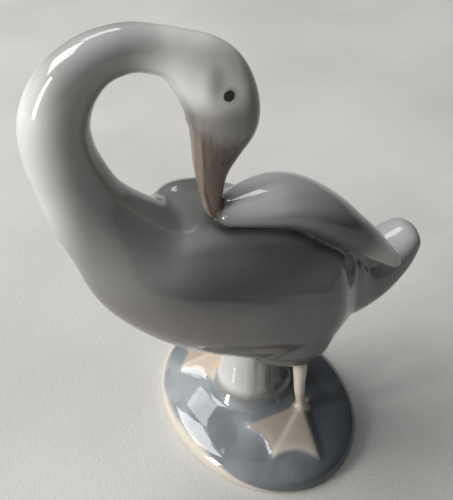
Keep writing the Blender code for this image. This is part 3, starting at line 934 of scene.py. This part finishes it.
class Board:
    """Short ways to put shader nodes together."""

    def __init__(self, name, owner):
        owner.use_nodes = True
        self.tree = owner.node_tree
        self.tree.nodes.clear()
        self.where = self.add("ShaderNodeTexCoord").outputs[name]

    def add(self, kind, sockets=None, **settings):
        node = self.tree.nodes.new(kind)
        for name, value in settings.items():
            setattr(node, name, value)
        for name, value in (sockets or {}).items():
            self.feed(node.inputs[name], value)
        return node

    def feed(self, socket, value):
        if isinstance(value, bpy.types.NodeSocket):
            self.tree.links.new(value, socket)
        else:
            socket.default_value = value

    def axes(self):
        return tuple(self.add("ShaderNodeSeparateXYZ", {0: self.where}).outputs)

    def along(self, direction):
        node = self.add("ShaderNodeVectorMath", {0: self.where, 1: direction}, operation="DOT_PRODUCT")
        return node.outputs["Value"]

    def math(self, operation, a, b=0.0):
        return self.add("ShaderNodeMath", {0: a, 1: b}, operation=operation).outputs[0]

    def times(self, first, *others):
        for other in others:
            first = self.math("MULTIPLY", first, other)
        return first

    def step(self, value, start, end, low=0.0, high=1.0):
        sockets = {"Value": value, "From Min": start, "From Max": end, "To Min": low, "To Max": high}
        return self.add("ShaderNodeMapRange", sockets, interpolation_type="SMOOTHSTEP").outputs["Result"]

    def mix(self, share, a, b):
        node = self.add("ShaderNodeMix", data_type="RGBA")
        for socket, value in ((node.inputs["Factor"], share), (node.inputs[6], a), (node.inputs[7], b)):
            self.feed(socket, value)
        return node.outputs[2]

    def tint(self, colour, mask, share, tone):
        """The colour, with up to a share of a tone over it where the mask is."""
        return self.mix(self.times(mask, share), colour, tone)

    def noise(self, scale, detail=2.0, roughness=0.5, distortion=0.0, stretch=None):
        """Noise from 0 to 1, drawn out along z where stretch is below 1."""
        where = self.stretched(stretch) if stretch else self.where
        sockets = {
            "Vector": where, "Scale": scale, "Detail": detail, "Roughness": roughness,
            "Distortion": distortion,
        }
        return self.add("ShaderNodeTexNoise", sockets).outputs["Fac"]

    def around_zero(self, noise, breadth):
        return self.times(self.math("SUBTRACT", noise, 0.5), breadth)

    def stretched(self, stretch):
        sockets = {"Vector": self.where, "Scale": (1.0, 1.0, stretch)}
        return self.add("ShaderNodeMapping", sockets).outputs["Vector"]

    def spot(self, centre, size, soft, stretch=None):
        """1 within size of a point, 0 beyond it, and longer along z where stretch is below 1."""
        where = self.where
        if stretch:
            where = self.stretched(stretch)
            centre = (centre[0], centre[1], centre[2] * stretch)
        node = self.add("ShaderNodeVectorMath", {0: where, 1: tuple(centre)}, operation="DISTANCE")
        return self.step(node.outputs["Value"], size + soft, size - soft)

    def mask(self, name):
        return self.add("ShaderNodeAttribute", attribute_name=name).outputs["Fac"]

    def bump(self, strength, distance, height, **below):
        sockets = {"Strength": strength, "Distance": distance, "Height": height, **below}
        return self.add("ShaderNodeBump", sockets)

    def finish(self, **sockets):
        named = {name.replace("_", " "): value for name, value in sockets.items()}
        shader = self.add("ShaderNodeBsdfPrincipled", named)
        self.add("ShaderNodeOutputMaterial", {"Surface": shader.outputs[0]})


def plumage_colour(board, cloud):
    """Grey, with painted light making it paler above, paler at the neck and at the wing tips, with painted
    shade under the shoulders, warmer on the breast.
    """
    x, y, z = board.axes()
    grey = board.mix(board.step(cloud, 0.35, 0.68), PLUMAGE, PLUMAGE_CLOUD)
    # Painted light: paler on the upper sides
    grey = board.mix(board.mask("above"), grey, PLUMAGE_TOP_LIGHT)
    neck = board.times(board.step(x, *NECK_X), board.step(z, *NECK_Z))
    grey = board.tint(grey, neck, 0.6, NECK_TONE)
    front = board.times(board.step(x, *FRONT_X), board.step(z, *FRONT_Z))
    grey = board.tint(grey, front, 0.85, FRONT_TONE)
    # Painted shade under the shoulders
    shoulder_shade = board.times(
        board.step(z, *SHOULDER_LOW_Z), board.step(z, *SHOULDER_TOP_Z),
        board.step(x, *SHOULDER_X), board.step(board.math("ABSOLUTE", y), *SHOULDER_Y),
    )
    grey = board.tint(grey, shoulder_shade, 0.72, SHOULDER_SHADE_TONE)
    forward, left, height = WING_TIP
    for side in (1, -1):
        tip = board.spot(place(forward, side * left, height), WING_TIP_SIZE, WING_TIP_FADE)
        grey = board.tint(grey, tip, 0.62, WING_TIP_TONE)
    breast = board.times(board.step(z, *BREAST_Z), board.step(x, *BREAST_X))
    return board.tint(grey, breast, 0.5, BREAST_TONE)


def head_colour(board, colour):
    """Nearly white, with a grey cheek, painted shade and dark reflection on the crown, and two soft smudges.
    """
    x, _, z = board.axes()
    colour = board.tint(colour, board.spot(place(*HEAD_MIDDLE), HEAD_SIZE, HEAD_FADE), 0.95, HEAD_TONE)
    cheek = board.mix(board.mask("cheek"), colour, CHEEK_TONE)
    colour = board.mix(board.step(z, *CHEEK_Z, 0.0, 0.95), colour, cheek)
    # Painted shade and dark reflection on the crown
    crown_shade = board.times(board.step(x, *CROWN_X), board.step(z, *CROWN_Z))
    colour = board.tint(colour, crown_shade, 0.84, CROWN_SHADE_TONE)
    for centre, size, share in SMUDGES:
        smudge = board.spot(place(*centre), size, size, SMUDGE_SQUASH)
        colour = board.tint(colour, smudge, share, SMUDGE_TONE)
    return colour


def bill_colour(board, colour):
    """Brown horn with a feathered edge, a paler lower mandible and a fine line between the two."""
    z = board.axes()[2]
    covered = board.mask("bill")
    feather = board.around_zero(board.noise(900.0, 2.0, 0.6, stretch=0.25), BILL_FEATHERING)
    edge = board.step(board.math("ADD", covered, feather), 0.15, 1.0)
    horn = board.mix(board.step(z, *HORN_Z), HORN_TOP, HORN_TIP)
    horn = board.mix(board.step(board.noise(700.0, stretch=0.2), 0.4, 0.7), horn, HORN_STREAK)
    seam = board.mask("mandible")
    horn = board.tint(horn, board.step(seam, 0.1, 0.6), 0.8, LOWER_MANDIBLE)
    horn = board.tint(horn, board.step(board.math("ABSOLUTE", seam), 0.26, 0.08), 0.6, MANDIBLE_LINE)
    return board.mix(board.times(edge, board.step(covered, 0.02, 0.2)), colour, horn)


def base_colour(board, colour):
    """Mottled slate plinth, with painted shade and dark reflection towards its back and darker towards its
    left, and a pale support with upright streaks and painted light on its front, the side towards the window
    light.
    """
    y = board.axes()[1]
    tailward = board.along(TAILWARD)
    slate = board.mix(board.step(board.noise(42.0, 2.0, 0.5, 0.8), 0.40, 0.62), SLATE, SLATE_PALE)
    slate = board.tint(slate, board.step(board.noise(120.0, 2.0, 0.5, 0.6), 0.5, 0.7), 0.4, SLATE_FLECK)
    # Painted shade and dark reflection towards the plinth's back
    slate = board.mix(board.step(tailward, *PLINTH_SHADED_BACK, 0.0, 0.70), slate, SLATE_SHADED_BACK)
    slate = board.mix(board.step(y, *PLINTH_LEFT_Y, 0.0, 0.55), slate, SLATE_LEFT)
    colour = board.mix(board.mask("plinth"), colour, slate)
    streaks = board.noise(330.0, 2.0, 0.6, stretch=0.08)
    reed = board.mix(board.step(streaks, 0.38, 0.66), REED, REED_STREAK)
    # Painted light: the support paler on its side towards the window
    reed = board.mix(board.step(tailward, *SUPPORT_LIT_SIDE), reed, REED_LIT_SIDE)
    return board.mix(board.mask("support"), colour, reed)


def foot_colour(board, colour, cloud):
    """Cream webs with pale middle toes, painted shade on the outer webs, and pale legs."""
    _, y, z = board.axes()
    webs = board.mix(board.step(cloud, 0.4, 0.62), WEB, WEB_CLOUD)
    webs = board.mix(board.step(y, *WEB_RIGHT_Y), webs, WEB_RIGHT)
    low = board.step(z, *WEB_TOP_Z)
    # Painted shade on the outer webs
    outer = board.step(board.mask("outer_web_shade"), *OUTER_WEB_SHADE_FADE, 0.0, 0.55)
    webs = board.mix(board.times(outer, low), webs, WEB_SHADE_TONE)
    ridge = board.step(board.mask("ridge"), *TOE_RIDGE, 0.0, 0.5)
    webs = board.mix(board.times(ridge, low), webs, TOE_TONE)
    webs = board.mix(board.step(z, *LEG_Z, 0.0, 0.6), webs, LEG_TONE)
    return board.mix(board.mask("foot"), colour, webs)


def rim_colour(board, colour):
    """A pale band round the plinth's rim, with a wandering edge that drops away at the back."""
    edge = board.math("ADD", board.axes()[2], board.around_zero(board.noise(60.0), RIM_WAVE))
    edge = board.math("ADD", edge, board.step(board.along(TAILWARD), *RIM_BACK, 0.0, RIM_BACK_DROP))
    return board.mix(board.step(edge, *RIM_Z), colour, RIM_TONE)


def face_colour(board, colour, eyes, nostrils):
    """Black eyes in pale rings, and slits for nostrils."""
    for centre in eyes:
        ring = board.spot(centre, EYE_RADIUS * EYE_RING, EYE_RADIUS * EYE_RING_FADE)
        colour = board.mix(ring, colour, EYE_RING_TONE)
        colour = board.mix(board.spot(centre, EYE_RADIUS, EYE_FADE), colour, EYE_TONE)
    for centre in nostrils:
        slit = board.spot(centre, NOSTRIL_SIZE, NOSTRIL_FADE, NOSTRIL_SQUASH)
        colour = board.tint(colour, slit, 0.85, NOSTRIL_TONE)
    return colour


def glazed_porcelain(eyes, nostrils):
    """Soft underglaze colours, with painted shade and painted light among them, under one clear gloss glaze.
    """
    made = bpy.data.materials.new("glazed_porcelain")
    board = Board("Object", made)
    cloud = board.noise(55.0, 3.0, 0.55)
    colour = head_colour(board, plumage_colour(board, cloud))
    colour = base_colour(board, bill_colour(board, colour))
    colour = rim_colour(board, foot_colour(board, colour, cloud))
    colour = face_colour(board, colour, eyes, nostrils)
    # Painted shade: the colour darkened in creases, but not on the feet
    crease_shade = board.step(board.mask("crease"), 0.10, 0.55, 0.0, 0.72)
    off_feet = board.math("SUBTRACT", 1.0, board.mask("foot"))
    colour = board.mix(board.times(crease_shade, off_feet), colour, CREASE_SHADE_TONE)
    wave = board.bump(0.12, 0.0006, board.noise(95.0, 1.0))
    grain = board.bump(0.04, 0.0002, board.noise(420.0, 2.0, 0.5), Normal=wave.outputs[0])
    gloss = board.step(cloud, 0.3, 0.7, 0.045, 0.075)
    board.finish(Base_Color=colour, Roughness=gloss, Normal=grain.outputs[0], IOR=1.6)
    return made


def bare_porcelain():
    """The unglazed underside."""
    made = bpy.data.materials.new("bare_porcelain")
    board = Board("Object", made)
    colour = board.mix(board.step(board.noise(260.0, 3.0), 0.35, 0.7), BARE, BARE_SHADE)
    bump = board.bump(0.3, 0.0001, board.noise(2600.0, 3.0))
    board.finish(Base_Color=colour, Roughness=0.8, Normal=bump.outputs[0])
    return made


def paper():
    made = bpy.data.materials.new("pale_paper")
    board = Board("Object", made)
    tone = board.mix(board.step(board.noise(13.0, 3.0), 0.3, 0.7), PAPER, PAPER_CLOUD)
    tone = board.tint(tone, board.step(board.noise(800.0, 2.0), 0.4, 0.7), 0.18, PAPER_FIBRE)
    bump = board.bump(0.35, 0.0003, board.noise(1100.0, 3.0))
    board.finish(Base_Color=tone, Roughness=0.85, Normal=bump.outputs[0])
    return made


def make_swan():
    forms = all_forms()
    swan = fuse("swan_casting", forms, GRAIN)
    blend(swan, forms)
    level_underside(swan)
    make_vent(swan)
    settled(swan)
    bpy.data.objects.remove(bpy.data.objects["vent"], do_unlink=True)
    points = coordinates(swan.data)
    named = {form.name: form for form in forms}
    paint_head(swan, points, named["trunk"].data)
    paint_feet(swan, points, named)
    paint_base(swan, points)
    for form in forms:
        bpy.data.objects.remove(form, do_unlink=True)
    tree = tree_of(swan)
    paint_shade_and_light(swan, tree)
    eyes = [ray_to(tree, *EYE, side) for side in (1, -1)]
    nostrils = [ray_to(tree, *NOSTRIL, side) for side in (1, -1)]
    swan.data.materials.clear()
    swan.data.materials.append(glazed_porcelain(eyes, nostrils))
    swan.data.materials.append(bare_porcelain())
    slack = 0.0001
    for face in swan.data.polygons:
        from_vent = (face.center - place(VENT_FORWARD, VENT_LEFT, face.center.z)).length
        in_vent = face.center.z < VENT_DEPTH + slack and from_vent < VENT_BORE / 2 + slack
        face.material_index = 1 if face.center.z < slack or in_vent else 0
    swan.data.shade_smooth()
    return swan


def make_table():
    mesh = bpy.data.meshes.new("table_top")
    corners = [(x * TABLE_REACH, y * TABLE_REACH, 0.0) for x, y in ((-1, -1), (1, -1), (1, 1), (-1, 1))]
    mesh.from_pydata(corners, [], [(0, 1, 2, 3)])
    top = bpy.data.objects.new("table_top", mesh)
    bpy.context.scene.collection.objects.link(top)
    mesh.materials.append(paper())


def add_lamp(name, towards, distance, width, tall, power, colour):
    """A soft rectangular lamp in a direction from the figurine, facing its middle."""
    lamp = bpy.data.lights.new(name, "AREA")
    lamp.shape = "RECTANGLE"
    lamp.size = width
    lamp.size_y = tall
    lamp.energy = power
    lamp.color = colour
    holder = bpy.data.objects.new(name, lamp)
    bpy.context.scene.collection.objects.link(holder)
    away = Vector(towards).normalized()
    holder.location = LAMP_AIM + away * distance
    holder.rotation_mode = "QUATERNION"
    holder.rotation_quaternion = away.to_track_quat("Z", "Y")


def make_light():
    """The lamps, and a dim room that is brighter on one side."""
    for lamp in LAMPS:
        add_lamp(*lamp)
    world = bpy.data.worlds.new("room")
    bpy.context.scene.world = world
    board = Board("Generated", world)
    share = board.step(board.along(Vector(ROOM_BRIGHT_SIDE).normalized()), *ROOM_FADE)
    tone = board.mix(share, ROOM_DIM, ROOM_BRIGHT)
    seen = board.add("ShaderNodeLightPath").outputs["Is Camera Ray"]
    tone = board.mix(seen, tone, BACKDROP)
    shader = board.add("ShaderNodeBackground", {"Color": tone, "Strength": 1.0})
    board.add("ShaderNodeOutputWorld", {"Surface": shader.outputs[0]})


def make_camera():
    lens = bpy.data.cameras.new("camera")
    lens.sensor_width = CAMERA_SENSOR
    lens.lens = CAMERA_LENS
    lens.clip_start = CAMERA_NEAR
    holder = bpy.data.objects.new("camera", lens)
    bpy.context.scene.collection.objects.link(holder)
    holder.location = CAMERA_PLACE
    holder.rotation_euler = (math.pi / 2 - CAMERA_DIP, 0.0, CAMERA_TURN)
    bpy.context.scene.camera = holder


def main():
    make_camera()
    swan = make_swan()
    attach(swan, "root")
    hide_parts("swan_figurine")
    make_table()
    make_light()
    bpy.context.scene.view_settings.view_transform = "Standard"


main()
